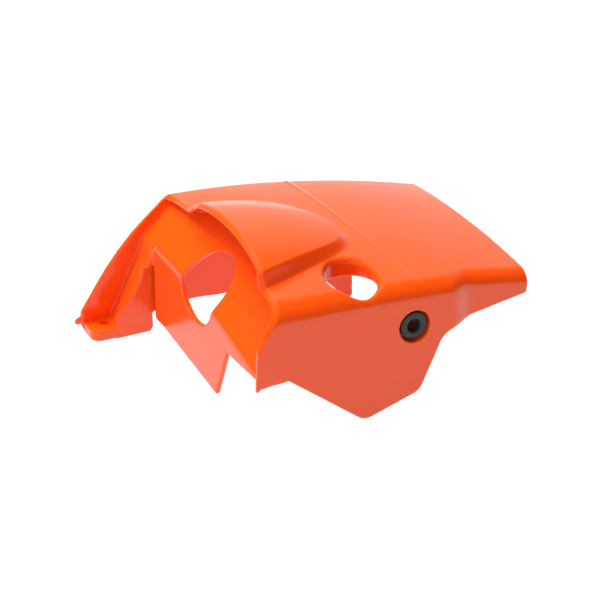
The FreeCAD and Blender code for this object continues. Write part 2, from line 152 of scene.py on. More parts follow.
SEAT_RADIUS = 8.5
SEAT_Y = -69.2
SEAT_LIP_HEIGHT = 0.45
SEAT_LIP_OFF = 0.8
SEAT_LIP_HALF_WIDTH = 1.4
SEAT_LIP_END_Y = -60.0
BOSS_RADIUS = 11.8
BOSS_DEPTH = 2.4
NECK_RADIUS = 5.0
NECK_END_Y = -55.0

BAFFLE_THICK = 2.5
BAFFLE_X = -56.0
BAFFLE_Y = -25.0
BAFFLE_SKEW = 0.0357
FOLD_Y = 50.0
FOLD_Z = 51.5
FOLD_CURVE = 0.00135
FOLD_RADIUS = 7.0
PORT_Y = 1.4
PORT_Z = 49.2
PORT_RADIUS = 17.5
PORT_END_X = -16.0

FOOT_THICK = 6.0
FOOT_END_Y = 80.0
GUSSET_Y = 56.0
GUSSET_THICK = 2.5
GUSSET_TOP = 39.5
HIGH_WEB_Y = 53.6
GROOVE_Y = 51.5
GROOVE_LOW = 11.6
PEG_START = (-92.0, 72.7, 8.2)
PEG_END = (-96.1, 73.1, 6.4)
PEG_RADIUS = 2.0

BUSH_BORE = 3.2
BUSH_FLANGE = 3.0
BUSH_GROOVE_END = 5.4

BEHIND = -130.0                         # well past the part, for outlines open on one side
BEYOND = 120.0


# ---------------------------------------------------------------- distance-field helpers

def smooth_step(value):
    value = np.clip(value, 0.0, 1.0)
    return value * value * (3.0 - 2.0 * value)


def soft_ramp(value, blend):
    return blend * np.log1p(np.exp(value / blend * 2.0)) / 2.0


def both(first, second, radius=0.0):
    """Where two solids overlap, with their shared edge rounded."""
    if np.isscalar(radius) and radius <= 0.0:
        return np.maximum(first, second)
    corner = np.hypot(np.maximum(first + radius, 0.0), np.maximum(second + radius, 0.0))
    return np.minimum(np.maximum(first, second), -radius) + corner


def either(first, second, radius=0.0):
    """Two solids joined, with a fillet between them."""
    return -both(-first, -second, radius)


def without(first, second, radius=0.0):
    """The first solid less the second, with the cut's edge rounded."""
    return both(first, -second, radius)


def angled_corner(first, second, radius, cosine):
    """Two flat sides that meet at an angle, with a true arc between them."""
    past_first = first + radius
    past_second = second + radius
    sine_squared = 1.0 - cosine * cosine
    towards_first = past_first - cosine * past_second
    towards_second = past_second - cosine * past_first
    reach = past_first ** 2 + past_second ** 2 - 2.0 * cosine * past_first * past_second
    arc = np.sqrt(np.maximum(reach, 0.0) / sine_squared) - radius
    return np.where((towards_first > 0.0) & (towards_second > 0.0), arc, np.maximum(first, second))


def corner_arc(before, corner, after, radius, step=math.radians(4.0)):
    """Points along the arc that rounds a corner."""
    back = np.subtract(before, corner)
    ahead = np.subtract(after, corner)
    back = back / np.linalg.norm(back)
    ahead = ahead / np.linalg.norm(ahead)
    half = 0.5 * math.acos(float(np.clip(back @ ahead, -1.0, 1.0)))
    inward = (back + ahead) / np.linalg.norm(back + ahead)
    centre = np.add(corner, inward * radius / math.sin(half))
    start = np.add(corner, back * radius / math.tan(half)) - centre
    end = np.add(corner, ahead * radius / math.tan(half)) - centre
    sweep = math.pi - 2.0 * half
    count = max(2, math.ceil(sweep / step))
    turn = math.copysign(sweep, start[0] * end[1] - start[1] * end[0])
    points = []
    for item in range(count + 1):
        angle = turn * item / count
        cosine, sine = math.cos(angle), math.sin(angle)
        points.append((centre[0] + start[0] * cosine - start[1] * sine,
                       centre[1] + start[0] * sine + start[1] * cosine))
    return points


def rounded(corners):
    """A closed outline through (u, v, radius) corners."""
    points = []
    for index, (u, v, radius) in enumerate(corners):
        before = corners[index - 1][:2]
        after = corners[(index + 1) % len(corners)][:2]
        if radius > 0.0:
            points.extend(corner_arc(before, (u, v), after, radius))
        else:
            points.append((u, v))
    return points


def outline_distance(points, u, v):
    """Signed distance to a closed outline, negative inside it."""
    nearest = np.full(np.broadcast(u, v).shape, 1e9)
    inside = np.zeros(nearest.shape, bool)
    for (u0, v0), (u1, v1) in zip(points, points[1:] + points[:1]):
        du, dv = u1 - u0, v1 - v0
        if du == 0.0 and dv == 0.0:
            continue
        along = np.clip(((u - u0) * du + (v - v0) * dv) / (du * du + dv * dv), 0.0, 1.0)
        nearest = np.minimum(nearest, (u - u0 - along * du) ** 2 + (v - v0 - along * dv) ** 2)
        if dv != 0.0:
            inside ^= ((v0 > v) != (v1 > v)) & (u < (v - v0) * du / dv + u0)
    distance = np.sqrt(nearest)
    return np.where(inside, -distance, distance).astype(np.float32)


# ---------------------------------------------------------------- the grid

def axis_values(start, end):
    count = int(math.ceil((end - start) / MM / PITCH + 2.0 * MARGIN / PITCH)) + 1
    return (start / MM - MARGIN + PITCH * np.arange(count)).astype(np.float32)


low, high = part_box("shroud")
xs = axis_values(low.x, high.x)
ys = axis_values(low.y, high.y)
zs = axis_values(low.z, high.z)
X = xs[:, None, None]
Y = ys[None, :, None]
Z = zs[None, None, :]


def in_plan(values):
    return values[:, :, None].astype(np.float32)


def in_side_view(values):
    return values[:, None, :].astype(np.float32)


def in_rear_view(values):
    return values[None, :, :].astype(np.float32)


# ---------------------------------------------------------------- the cowl

def right_corner(x):
    """Where the right wall and the roof would meet in a sharp corner, as y and z."""
    jog = JOG_DEPTH * smooth_step((x - JOG_START) / JOG_LENGTH)
    fall = RIGHT_FALL * (x - REAR_X) + NOSE_FALL * soft_ramp(x - CREASE_X, CREASE_BLEND)
    return RIGHT_Y + jog, RIGHT_TOP - fall


def left_corner(x):
    """Where the left wall and the roof would meet in a sharp corner, as y and z."""
    y = LEFT_Y - LEFT_TAPER * np.maximum(0.0, x - REAR_X)
    return y, LEFT_TOP - LEFT_CURVE * (x - LEFT_TOP_X) ** 2


def rim_dip(x):
    """How much flatter the roof is near its rear rim."""
    return RIM_DIP * (1.0 - smooth_step((x - REAR_X) / RIM_DIP_LENGTH))


def crown(x):
    """How far the roof bulges above a straight line between its two corners."""
    share = np.maximum(0.0, x - REAR_X) / (FRONT_X - REAR_X)
    return CROWN_REAR - CROWN_FALL * share ** 1.5 - rim_dip(x)


def left_slope(x):
    """How far the left wall moves outwards for each millimetre down."""
    return LEFT_DRAFT - LEFT_LEAN * smooth_step((x - LEAN_START) / LEAN_LENGTH)


def shoulder_radius(x):
    return SHOULDER_REAR - SHOULDER_FALL * (x - REAR_X)


class Section:
    """The roof's curve and the cosines of its two shoulders, at each x."""

    def __init__(self, x):
        self.right_y, self.right_z = right_corner(x)
        self.left_y, self.left_z = left_corner(x)
        self.slope = left_slope(x)
        self.top_y = (self.right_y + self.left_y) / 2.0
        self.top_z = (self.right_z + self.left_z) / 2.0 + 2.0 * crown(x)
        rise = np.hypot(self.top_y - self.right_y, self.top_z - self.right_z)
        along = ((self.top_y - self.right_y) / rise, (self.top_z - self.right_z) / rise)
        wall = math.hypot(1.0, RIGHT_DRAFT)
        self.right_cosine = (along[1] + RIGHT_DRAFT * along[0]) / wall
        half = (math.pi - np.arccos(self.right_cosine)) / 2.0
        run = shoulder_radius(x) / np.tan(half)
        self.start = (self.right_y + along[0] * run, self.right_z + along[1] * run)
        self.start_slope = along[1] / along[0]
        fall = np.hypot(self.left_y - self.top_y, self.left_z - self.top_z)
        along = ((self.left_y - self.top_y) / fall, (self.left_z - self.top_z) / fall)
        wall = np.hypot(1.0, self.slope)
        self.left_cosine = (self.slope * along[0] - along[1]) / wall
        half = (math.pi - np.arccos(self.left_cosine)) / 2.0
        run = LEFT_RADIUS / np.tan(half)
        self.end = (self.left_y - along[0] * run, self.left_z - along[1] * run)
        self.end_slope = along[1] / along[0]

    def roof(self, y):
        """The roof's height: a curve between the shoulders, and straight on past them."""
        bend = self.start[0] - 2.0 * self.top_y + self.end[0]
        lead = 2.0 * (self.top_y - self.start[0])
        past = y - self.start[0]
        share = 2.0 * past / (lead + np.sqrt(np.maximum(lead * lead + 4.0 * bend * past, 1e-6)))
        height = ((1.0 - share) ** 2 * self.start[1] + 2.0 * share * (1.0 - share) * self.top_z
                  + share ** 2 * self.end[1])
        height = np.where(share < 0.0, self.start[1] + past * self.start_slope, height)
        return np.where(share > 1.0, self.end[1] + (y - self.end[0]) * self.end_slope, height)


def panel_edge():
    """The raised panel's right edge in plan, from the rear rim to its nose."""
    poles = np.array([(REAR_X, PANEL_Y - PANEL_RIGHT),
                      (REAR_X + 0.70 * PANEL_LENGTH, PANEL_Y - 0.62 * PANEL_RIGHT),
                      (REAR_X + PANEL_LENGTH, PANEL_Y - 0.45 * PANEL_RIGHT),
                      (REAR_X + PANEL_LENGTH, PANEL_Y)])
    t = np.linspace(0.0, 1.0, 61)[:, None]
    curve = ((1 - t) ** 3 * poles[0] + 3 * t * (1 - t) ** 2 * poles[1]
             + 3 * t * t * (1 - t) * poles[2] + t ** 3 * poles[3])
    lead = [(BEHIND, PANEL_Y - PANEL_RIGHT)]
    tail = [(REAR_X + PANEL_LENGTH, BEYOND), (BEHIND, BEYOND)]
    return lead + [tuple(point) for point in curve] + tail


def ellipse_distance(along, across, half):
    """Roughly the distance in millimetres from an ellipse about the panel's middle line."""
    reach = np.hypot(along / PANEL_LENGTH, across / half)
    slope = np.hypot(along / PANEL_LENGTH ** 2, across / half ** 2)
    return (reach - 1.0) * np.maximum(reach, 1e-3) / np.maximum(slope, 1e-4)


def left_ramp(along, across, reach):
    """One on the panel's top, and falling to zero down the long slope on its left."""
    past_top = np.maximum(ellipse_distance(along, across, PANEL_LEFT) + reach[0], 0.0)
    before_foot = reach[1] - ellipse_distance(along, across, PANEL_LEFT + PANEL_RAMP)
    before_foot = np.maximum(before_foot, 0.0)
    ramp = before_foot / np.maximum(before_foot + past_top, 1e-3)
    return 0.7 * ramp + 0.3 * smooth_step(ramp)


def right_riser(off_edge, width):
    """One on the panel's top, and falling to zero across the step along its right edge."""
    riser = np.clip((width / 2.0 - off_edge) / width, 0.0, 1.0)
    return 0.6 * riser + 0.4 * smooth_step(riser)


def panel_lift(x, y, inset):
    """How far the raised panel stands above the roof."""
    along = np.maximum(0.0, x - REAR_X)
    across = y - PANEL_Y
    share = along / PANEL_LENGTH
    half = np.where(across > 0.0, PANEL_LEFT, PANEL_RIGHT)
    step = np.maximum(PANEL_STEP - PANEL_STEP_FALL * share, PANEL_STEP_LEAST)
    dome = PANEL_DOME * np.maximum(0.0, 1.0 - share ** 2 - (across / half) ** 2)
    width = RISER_WIDTH + RISER_WIDENS * share ** 2
    ramp = left_ramp(along, across, (inset + width / 2.0, width / 2.0 - inset))
    riser = right_riser(outline_distance(panel_edge(), x, y) + inset, width)
    fade = np.where(across > 0.0, ramp, riser)
    share = (y - right_corner(x)[0]) / (left_corner(x)[0] - right_corner(x)[0])
    dip = 4.0 * rim_dip(x) * share * (1.0 - share)
    return (step + dome + dip) * fade


def bead_lift(x, y):
    """The narrow raised bead across the roof, which ends on the right shoulder."""
    off = np.abs(x - BEAD_X - BEAD_BEND * (y - BEAD_Y) ** 2)
    return BEAD_HEIGHT * smooth_step((BEAD_HALF_WIDTH - off) / BEAD_FLANK) * smooth_step(y - BEAD_END_Y)


def cowl(inset):
    """Distance from the cowl's skin, with the raised panel's lift inset from its outline."""
    x = xs[:, None].astype(float)
    y = ys[None, :].astype(float)
    bare = Section(x).roof(y)
    height = bare + panel_lift(x, y, inset)
    slope_x, slope_y = np.gradient(bare if inset > 0.0 else height, PITCH)
    scale = 1.0 / np.sqrt(1.0 + slope_x ** 2 + slope_y ** 2)
    roof = (Z - in_plan(height)) * in_plan(scale)
    section = Section(xs[:, None, None].astype(float))
    jog_slope = np.gradient(right_corner(xs.astype(float))[0], PITCH)[:, None, None]
    right = section.right_y - RIGHT_DRAFT * (section.right_z - Z) - Y
    right = (right / np.sqrt(1.0 + RIGHT_DRAFT ** 2 + jog_slope ** 2)).astype(np.float32)
    left = (Y - section.left_y - section.slope * (section.left_z - Z)) / np.hypot(1.0, section.slope)
    left = left.astype(np.float32)
    radius = shoulder_radius(X).astype(np.float32)
    skin = angled_corner(roof, right, radius, section.right_cosine.astype(np.float32))
    return angled_corner(skin, left, np.float32(LEFT_RADIUS), section.left_cosine.astype(np.float32))


# ---------------------------------------------------------------- outlines
# Corners are (x, z, radius) from the side, (y, z, radius) from the rear and (x, y, radius) in plan.

RIGHT_OUTLINE = [
    (RIM_X, BEYOND, 0.0), (RIM_X, 69.8, 5.0), (-56.8, 51.0, 6.0), (-57.9, 28.3, 0.6),
    (-55.6, 30.9, 1.0), (-40.6, 31.8, 1.5), (1.0, -1.04, 8.0), (32.4, 8.4, 9.0), (46.4, 38.2, 12.0),
    (97.2, 45.8, 1.5), (FRONT_X, 52.0, 3.0), (FRONT_X, BEYOND, 0.0),
]
LEFT_OUTLINE = [
    (RIM_X, BEYOND, 0.0), (RIM_X, 72.4, 4.0), (-70.2, 50.9, 181.0), (-94.5, 12.0, 0.0),
    (-94.5, 0.0, 5.0), (-76.0, 0.0, 0.0), (-74.0, 5.4, 2.0), (-12.0, 7.0, 30.0), (12.0, 18.0, 14.0),
    (34.0, 18.0, 10.0), (54.6, -2.7, 2.5), (58.5, 38.0, 12.0), (97.2, 45.8, 1.5),
    (FRONT_X, 52.0, 3.0), (FRONT_X, BEYOND, 0.0),
]
WEB_OUTLINE = [
    (-80.4, 2.0, 0.0), (-61.4, 42.5, 8.0), (-58.6, 50.0, 0.0), (-55.8, 50.0, 0.0),
    (-58.8, 41.5, 8.0), (-77.6, 2.0, 0.0),
]
GUSSET_OUTLINE = [
    (-80.4, 0.0, 0.0), (-80.4, 12.0, 1.0), (-65.0, 31.5, 1.5), (-65.0, 38.3, 1.0),
    (-60.0, 39.8, 0.0), (-50.0, 39.8, 0.0), (-50.0, GROOVE_LOW, 0.0), (-59.2, GROOVE_LOW, 1.0),
    (-59.2, 2.5, 1.0), (-61.0, 0.0, 0.5),
]
GROOVE_SIDE_OUTLINE = [
    (-57.0, GROOVE_LOW, 0.0), (-57.0, 51.6, 0.0), (-50.0, 51.6, 0.0), (-50.0, GROOVE_LOW, 0.0),
]
GROOVE_FLOOR_OUTLINE = [
    (-52.5, GROOVE_LOW, 0.0), (-52.5, 55.1, 0.0), (-50.0, 55.1, 0.0), (-50.0, GROOVE_LOW, 0.0),
]
FLAP_OUTLINE_FROM_REAR = [
    (90.0, BEYOND, 0.0), (90.0, 40.0, 0.0), (56.2, 40.0, 0.0), (56.2, 51.0, 1.0), (54.0, 51.0, 1.0),
    (54.0, 8.3, 2.5), (46.0, 8.6, 6.0), (-20.2, -0.05, 0.6), (-33.6, 30.6, 1.5), (-66.0, 31.4, 5.0),
    (-73.5, 38.0, 4.0), (-90.0, 50.0, 0.0), (-90.0, BEYOND, 0.0),
]
PAD_OUTLINE_IN_PLAN = [
    (-93.2, 57.0, 5.5), (-77.0, 57.0, 0.0), (-77.0, 90.0, 0.0), (-93.2, 90.0, 0.0),
]


def slant_share():
    """Zero on the lower part of the mouth's rim and one on the roof."""
    return smooth_step((Z - SLANT_LOW) / SLANT_RISE)


def rim_slant():
    """How much further to the rear the mouth's rim is at its inner edge than at its outer edge."""
    across = SLANT_RIGHT - SLANT_FALL * smooth_step((Y - SLANT_FALL_Y) / SLANT_FALL_LENGTH)
    return across * slant_share()


def cut_to_outline(depth):
    """Distance from the outline in side view. depth is 0 on the outer skin and 1 on the inner."""
    slanted = xs < REAR_X + 10.0
    columns = np.arange(len(zs))[None, None, :]
    shift = np.clip(depth[slanted], 0.0, 1.0) * rim_slant() - slant_share()
    place = np.clip((X[slanted] + shift - xs[0]) / PITCH, 0.0, len(xs) - 2.0)
    before = place.astype(int)
    share = place - before
    flatten = 1.0 / np.sqrt(1.0 + (rim_slant() / WALL) ** 2)
    halves = []
    for corners in (RIGHT_OUTLINE, LEFT_OUTLINE):
        plain = outline_distance(rounded(corners), xs[:, None], zs[None, :])
        half = np.broadcast_to(in_side_view(plain), (len(xs), len(ys), len(zs))).copy()
        moved = plain[before, columns] * (1.0 - share) + plain[before + 1, columns] * share
        half[slanted] = moved * flatten
        halves.append(half)
    return np.where(Y < 0.0, halves[0], halves[1])


# ---------------------------------------------------------------- inside the cowl

def baffle():
    """The folded sheet across the inside: upright below the fold, 45 degrees above it."""
    slope = math.sqrt(0.5)
    rear = BAFFLE_X - BAFFLE_SKEW * (Y - BAFFLE_Y)
    fold = FOLD_Z - FOLD_CURVE * (FOLD_Y - Y) ** 2
    sloped = ((Z - fold) - (X - rear)) * slope
    face = angled_corner(rear - X, sloped, FOLD_RADIUS, slope)
    sheet = both(face, -(face + BAFFLE_THICK))
    edge = outline_distance(rounded(FLAP_OUTLINE_FROM_REAR), ys[:, None], zs[None, :])
    return both(sheet, in_rear_view(edge), radius=0.7)


def plate(corners, start, end, radius=0.6):
    """A side-view outline from start to end along Y."""
    outline = in_side_view(outline_distance(rounded(corners), xs[:, None], zs[None, :]))
    across = np.abs(Y - (start + end) / 2.0) - (end - start) / 2.0
    return both(outline, across, radius)


def foot_pad():
    """The flat pad that the screw goes through."""
    plan = outline_distance(rounded(PAD_OUTLINE_IN_PLAN), xs[:, None], ys[None, :])
    return both(in_plan(plan), np.abs(Z - FOOT_THICK / 2.0) - FOOT_THICK / 2.0, radius=0.6)


def foot_web():
    """The sheet that slopes down to the pad. It is wider above the gusset than beside it."""
    above_gusset = both(plate(WEB_OUTLINE, HIGH_WEB_Y, FOOT_END_Y), GUSSET_TOP - Z, radius=0.4)
    return np.minimum(plate(WEB_OUTLINE, GUSSET_Y, FOOT_END_Y), above_gusset)


def foot():
    """The pad, the web, the gusset, and the two sides of the groove beside the flap."""
    gusset_end = GUSSET_Y + GUSSET_THICK
    gusset = plate(GUSSET_OUTLINE, GUSSET_Y, gusset_end)
    groove_side = plate(GROOVE_SIDE_OUTLINE, GROOVE_Y, GROOVE_Y + BAFFLE_THICK)
    groove_floor = plate(GROOVE_FLOOR_OUTLINE, GROOVE_Y, gusset_end)
    support = either(either(foot_pad(), foot_web(), radius=1.2), gusset, radius=0.4)
    return np.minimum(support, either(groove_side, groove_floor, radius=0.5))


def peg():
    """The rounded locating peg at the foot's rear corner."""
    start = np.array(PEG_START)
    along = np.array(PEG_END) - start
    share = ((X - start[0]) * along[0] + (Y - start[1]) * along[1] + (Z - start[2]) * along[2])
    share = np.clip(share / (along @ along), 0.0, 1.0)
    return np.sqrt((X - start[0] - share * along[0]) ** 2 + (Y - start[1] - share * along[1]) ** 2
                   + (Z - start[2] - share * along[2]) ** 2) - PEG_RADIUS


def seat_lip_lift(off_screw):
    """The low ring that stands out of the right skirt around the bush."""
    off_ring = np.abs(off_screw - SEAT_RADIUS - SEAT_LIP_OFF)
    return SEAT_LIP_HEIGHT * smooth_step(SEAT_LIP_HALF_WIDTH - off_ring) * (Y < SEAT_LIP_END_Y)


def lip_radius(off_access):
    """The rounding of the access hole's lip, which is widest towards LIP_TOWARDS."""
    towards = (X - ACCESS_X) * math.cos(LIP_TOWARDS) + (Y - ACCESS_Y) * math.sin(LIP_TOWARDS)
    share = np.clip(0.5 + 0.5 * towards / np.maximum(off_access, 1.0), 0.0, 1.0)
    return LIP_LEAST + LIP_WIDENS * share ** 1.5


def shroud_field():
    """Distance from the whole moulding: the skin, what joins it inside, and then the holes."""
    outer = cowl(0.0)
    inner = cowl(WALL)
    off_screw = np.hypot(X - SCREW_X, Z - SCREW_Z)
    off_access = np.hypot(X - ACCESS_X, Y - ACCESS_Y)
    bead = in_plan(bead_lift(xs[:, None], ys[None, :]))
    skin = both(outer - bead - seat_lip_lift(off_screw), -(inner + WALL))
    solid = both(skin, cut_to_outline(-outer / WALL), radius=0.45)

    inside = outer + 0.45 * WALL
    collar_radius = ACCESS_RADIUS + WALL + COLLAR_EXTRA
    collar = both(off_access - collar_radius, ACCESS_FLOOR - Z, radius=0.6)
    boss = both(off_screw - BOSS_RADIUS, Y - SEAT_Y - BOSS_DEPTH, radius=0.6)
    for part in (baffle(), foot(), collar, boss):
        solid = either(solid, both(part, inside), radius=1.0)
    solid = either(solid, peg(), radius=1.0)

    access = both(outer - bead, ACCESS_RADIUS - off_access, lip_radius(off_access))
    solid = both(solid, access, radius=0.5)
    seat = both(off_screw - SEAT_RADIUS, Y - SEAT_Y)
    solid = without(solid, seat, radius=0.8)
    neck = both(off_screw - NECK_RADIUS, Y - NECK_END_Y)
    solid = without(solid, neck, radius=0.3)
    port = both(np.hypot(Y - PORT_Y, Z - PORT_Z) - PORT_RADIUS, X - PORT_END_X)
    solid = without(solid, port, radius=0.5)
    off_foot_hole = np.hypot(X - FOOT_HOLE_X, Y - FOOT_HOLE_Y)
    foot_hole = both(off_foot_hole - FOOT_HOLE_RADIUS, Z - 1.5 * FOOT_THICK)
    return without(solid, foot_hole, radius=0.4).astype(np.float32)


# ---------------------------------------------------------------- from a field to a mesh

def sample(field, points):
    """The field's value at points in grid steps, by straight-line interpolation."""
    limit = np.array(field.shape) - 1.001
    points = np.clip(points, 0.0, limit)
    base = points.astype(int)
    part = points - base
    total = 0.0
    for corner in np.ndindex(2, 2, 2):
        weight = np.prod(np.where(np.array(corner) == 1, part, 1.0 - part), axis=1)
        total = total + weight * field[tuple((base + corner).T)]
    return total


def field_normals(field, points):
    """Directions in which the field rises, by differences over one and a half grid steps."""
    steps = np.eye(3) * 0.75
    slope = [sample(field, points + step) - sample(field, points - step) for step in steps]
    slope = np.stack(slope, axis=1)
    return slope / np.maximum(np.linalg.norm(slope, axis=1, keepdims=True), 1e-9)


def crossing_means(field, cells):
    """The mean of the points where the surface crosses each cell's edges, in grid steps."""
    total = np.zeros((len(cells), 3))
    count = np.zeros(len(cells))
    for axis in range(3):
        for offset in np.ndindex(2, 2):
            start = np.insert(np.array(offset), axis, 0)
            end = start.copy()
            end[axis] = 1
            first = field[tuple((cells + start).T)]
            second = field[tuple((cells + end).T)]
            crossed = (first < 0.0) != (second < 0.0)
            share = np.where(crossed, first / np.where(crossed, first - second, 1.0), 0.0)
            point = start + np.outer(share, end - start)
            total += point * crossed[:, None]
            count += crossed
    return cells + total / count[:, None]


def crossed_edge_quads(inside, number, axis):
    """One quad around each grid edge along the axis that the surface crosses, facing outwards."""
    first = np.take(inside, range(inside.shape[axis] - 1), axis)
    second = np.take(inside, range(1, inside.shape[axis]), axis)
    one, two = [other for other in range(3) if other != axis]
    edges = np.argwhere(first != second)
    edges = edges[(edges[:, one] > 0) & (edges[:, two] > 0)]
    ring = []
    for back_one, back_two in ((0, 0), (1, 0), (1, 1), (0, 1)):
        cell = edges.copy()
        cell[:, one] -= back_one
        cell[:, two] -= back_two
        ring.append(number[tuple(cell.T)])
    ring = np.stack(ring, axis=1)
    leaves = first[tuple(edges.T)]
    if axis == 1:
        leaves = ~leaves
    ring[~leaves] = ring[~leaves][:, ::-1]
    return ring


def surface_nets(field):
    """One vertex in each cell that the surface crosses, and one quad across each crossed edge."""
    inside = field < 0.0
    corners_inside = np.zeros(tuple(np.array(field.shape) - 1), np.uint8)
    for corner in np.ndindex(2, 2, 2):
        span = tuple(slice(start, start + size) for start, size in zip(corner, corners_inside.shape))
        corners_inside += inside[span]
    active = (corners_inside > 0) & (corners_inside < 8)
    cells = np.argwhere(active)
    number = np.full(active.shape, -1, np.int32)
    number[active] = np.arange(len(cells))
    quads = [crossed_edge_quads(inside, number, axis) for axis in range(3)]
    return crossing_means(field, cells), np.concatenate(quads)


def new_object(name, vertices, faces):
    """A smooth-shaded object; every face has the same number of corners."""
    mesh = bpy.data.meshes.new(name)
    mesh.vertices.add(len(vertices))
    mesh.vertices.foreach_set("co", np.asarray(vertices, np.float32).ravel())
    faces = np.asarray(faces, np.int32)
    mesh.loops.add(faces.size)
    mesh.loops.foreach_set("vertex_index", faces.ravel())
    mesh.polygons.add(len(faces))
    mesh.polygons.foreach_set("loop_start", np.arange(0, faces.size, faces.shape[1], dtype=np.int32))
    mesh.update(calc_edges=True)
    mesh.validate()
    mesh.shade_smooth()
    piece = bpy.data.objects.new(name, mesh)
    bpy.context.scene.collection.objects.link(piece)
    return piece


def reduced(piece, triangles):
    """The piece with flat areas simplified until it has that many triangles."""
    count = sum(len(polygon.vertices) - 2 for polygon in piece.data.polygons)
    if count <= triangles:
        return piece
    modifier = piece.modifiers.new("reduce", "DECIMATE")
    modifier.ratio = triangles / count
    shown = piece.evaluated_get(bpy.context.evaluated_depsgraph_get())
    mesh = bpy.data.meshes.new_from_object(shown)
    piece.modifiers.clear()
    piece.data = mesh
    return piece


def shroud():
    """The moulding's mesh, with its vertices pulled onto the field's surface."""
    field = shroud_field()
    origin = np.array((xs[0], ys[0], zs[0]), float)
    vertices, quads = surface_nets(field)
    piece = new_object("shroud_moulding", (vertices * PITCH + origin) * MM, quads)
    piece = reduced(piece, TRIANGLES)
    mesh = piece.data
    points = np.zeros(len(mesh.vertices) * 3, np.float32)
    mesh.vertices.foreach_get("co", points)
    points = (points.reshape(-1, 3).astype(float) / MM - origin) / PITCH
    for _ in range(2):
        normals = field_normals(field, points)
        points -= np.clip(sample(field, points) / PITCH, -0.3, 0.3)[:, None] * normals
    normals = field_normals(field, points)
    mesh.vertices.foreach_set("co", ((points * PITCH + origin) * MM).astype(np.float32).ravel())
    mesh.update()
    mesh.shade_smooth()
    mesh.normals_split_custom_set_from_vertices(normals.tolist())
    return piece


def lathe(name, profile, centre, segments=96):
    """A ring turned about an axis along Y; profile holds (radius, distance along +Y) points."""
    vertices = []
    for item in range(segments):
        angle = 2.0 * math.pi * item / segments
        for radius, along in profile:
            vertices.append((centre[0] + radius * math.cos(angle), centre[1] + along,
                             centre[2] + radius * math.sin(angle)))
    count = len(profile)
    faces = []
    for item in range(segments):
        turn = (item + 1) % segments
        for index in range(count):
            ahead = (index + 1) % count
            faces.append((item * count + index, item * count + ahead, turn * count + ahead,
                          turn * count + index))
    return new_object(name, np.array(vertices) * MM, faces)


def side_bush():
    """The bush in its CAD box: flange with a countersunk mouth, neck groove and inner sleeve."""
    box_low, box_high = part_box("side_bush")
    centre = ((box_low.x + box_high.x) / 2.0 / MM, box_low.y / MM, (box_low.z + box_high.z) / 2.0 / MM)
    flange = (box_high.x - box_low.x) / 2.0 / MM
    end = (box_high.y - box_low.y) / MM
    corners = [
        (BUSH_BORE, 1.4, 0.5), (3.7, 0.35, 0.5), (4.6, 0.0, 0.3),
        (flange, 0.0, 0.9), (flange, BUSH_FLANGE, 0.2),
        (NECK_RADIUS, BUSH_FLANGE, 0.2), (NECK_RADIUS, BUSH_GROOVE_END, 0.2),
        (flange, BUSH_GROOVE_END, 0.2), (flange, end, 0.7), (BUSH_BORE, end, 0.3),
    ]
    return lathe("bush_ring", rounded(corners), centre)


# ---------------------------------------------------------------- materials

def material(name):
    made = bpy.data.materials.new(name)
    made.use_nodes = True
    nodes = made.node_tree.nodes
    return made, nodes, made.node_tree.links, nodes["Principled BSDF"]


def noise(nodes, links, scale, detail=3.0):
    place = nodes.new("ShaderNodeTexCoord")
    texture = nodes.new("ShaderNodeTexNoise")
    texture.inputs["Scale"].default_value = scale
    texture.inputs["Detail"].default_value = detail
    links.new(place.outputs["Object"], texture.inputs["Vector"])
    return texture.outputs["Fac"]


def spread(nodes, links, source, low_value, high_value):
    remap = nodes.new("ShaderNodeMapRange")
    remap.inputs["To Min"].default_value = low_value
    remap.inputs["To Max"].default_value = high_value
    links.new(source, remap.inputs["Value"])
    return remap.outputs["Result"]


def between_colours(nodes, links, source, first, second):
    ramp = nodes.new("ShaderNodeValToRGB")
    ramp.color_ramp.elements[0].color = first
    ramp.color_ramp.elements[1].color = second
    links.new(source, ramp.inputs["Fac"])
    return ramp.outputs["Color"]


def fine_relief(nodes, links, source, strength, distance):
    bump = nodes.new("ShaderNodeBump")
    bump.inputs["Strength"].default_value = strength
    bump.inputs["Distance"].default_value = distance
    links.new(source, bump.inputs["Height"])
    return bump.outputs["Normal"]


def orange_plastic():
    """Glossy injection-moulded plastic: faint flow mottling, slight orange peel and fine dust haze."""
    made, nodes, links, shader = material("orange_plastic")
    flow = noise(nodes, links, 18.0)
    colour = between_colours(nodes, links, flow, (0.88, 0.070, 0.002, 1.0), (0.92, 0.082, 0.003, 1.0))
    links.new(colour, shader.inputs["Base Color"])
    haze = noise(nodes, links, 60.0)
    links.new(spread(nodes, links, haze, 0.14, 0.22), shader.inputs["Roughness"])
    peel = noise(nodes, links, 260.0, detail=1.0)
    links.new(fine_relief(nodes, links, peel, 0.03, 0.0004), shader.inputs["Normal"])
    shader.inputs["IOR"].default_value = 1.54
    shader.inputs["Subsurface Weight"].default_value = 0.12
    shader.inputs["Subsurface Radius"].default_value = (1.0, 0.25, 0.05)
    shader.inputs["Subsurface Scale"].default_value = 0.004
    return made


def black_rubber():
    """Dark rubber with a fine moulded grain and a slightly worn sheen."""
    made, nodes, links, shader = material("black_rubber")
    wear = noise(nodes, links, 140.0)
    colour = between_colours(nodes, links, wear, (0.006, 0.009, 0.007, 1.0), (0.016, 0.022, 0.019, 1.0))
    links.new(colour, shader.inputs["Base Color"])
    links.new(spread(nodes, links, wear, 0.38, 0.55), shader.inputs["Roughness"])
    grain = noise(nodes, links, 2600.0, detail=2.0)
    links.new(fine_relief(nodes, links, grain, 0.12, 0.0002), shader.inputs["Normal"])
    return made


